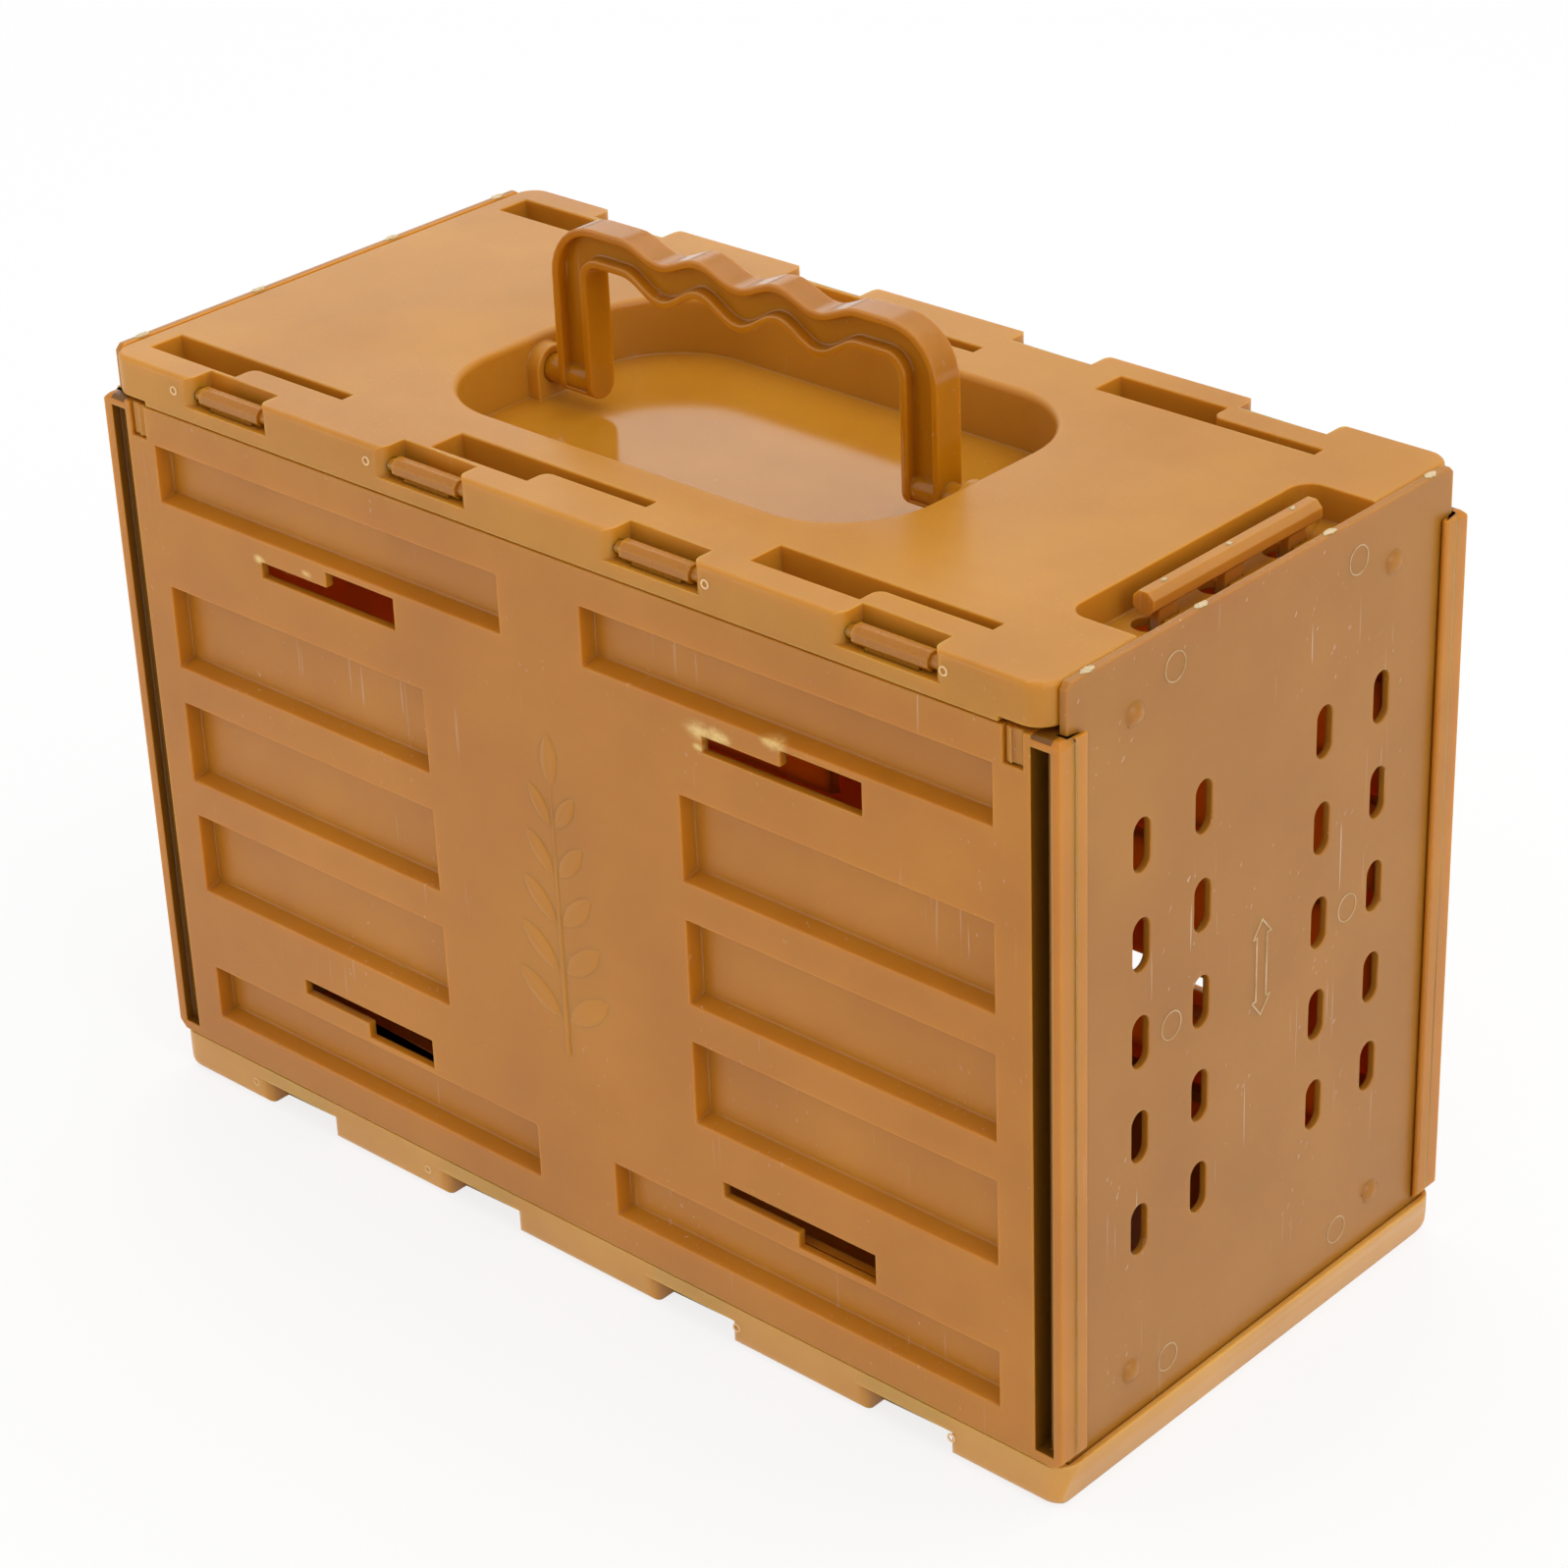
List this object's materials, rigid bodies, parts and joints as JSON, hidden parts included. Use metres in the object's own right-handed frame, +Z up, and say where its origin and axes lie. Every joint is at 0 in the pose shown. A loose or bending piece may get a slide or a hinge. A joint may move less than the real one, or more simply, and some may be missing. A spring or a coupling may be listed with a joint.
{
  "type": "bird travel carrier",
  "caption": "Box-shaped plastic travel carrier for a small bird, with slatted long sides, perforated lift-out end doors, a fold-down bail handle in a well and a keyed bar in the lid.",
  "frame": {"origin": "middle of the base's underside", "axes": "+Z up, +X towards the end with the keyed bar, -Y towards the front long panel"},
  "size_m": [0.29, 0.14, 0.2298],
  "materials": {
    "shell": "moulded caramel plastic, satin, slightly translucent",
    "panel": "moulded caramel plastic, satin, slightly translucent",
    "door": "moulded caramel plastic, satin, with light handling scratches",
    "bail": "moulded amber-brown plastic, glossy"
  },
  "bodies": {
    "box": {"base": "shell", "lid": "shell", "front_panel": "panel", "back_panel": "panel"},
    "left_door": {"left_door": "door"},
    "right_door": {"right_door": "door"},
    "handle": {"handle": "bail"},
    "keyed_bar": {"keyed_bar": "bail"}
  },
  "joints": [
    {"name": "left_door_lift", "type": "slide", "parent": "box", "child": "left_door", "axis": [0, 0, 1], "range_m": [0, 0.19]},
    {"name": "right_door_lift", "type": "slide", "parent": "box", "child": "right_door", "axis": [0, 0, 1], "range_m": [0, 0.19]},
    {"name": "handle_swing", "type": "hinge", "parent": "box", "child": "handle", "pos_m": [0, 0, 0.1905], "axis": [1, 0, 0], "range_deg": [-90, 90]},
    {"name": "keyed_bar_slide", "type": "slide", "parent": "box", "child": "keyed_bar", "axis": [0, -1, 0], "range_m": [0, 0.0052]}
  ]
}
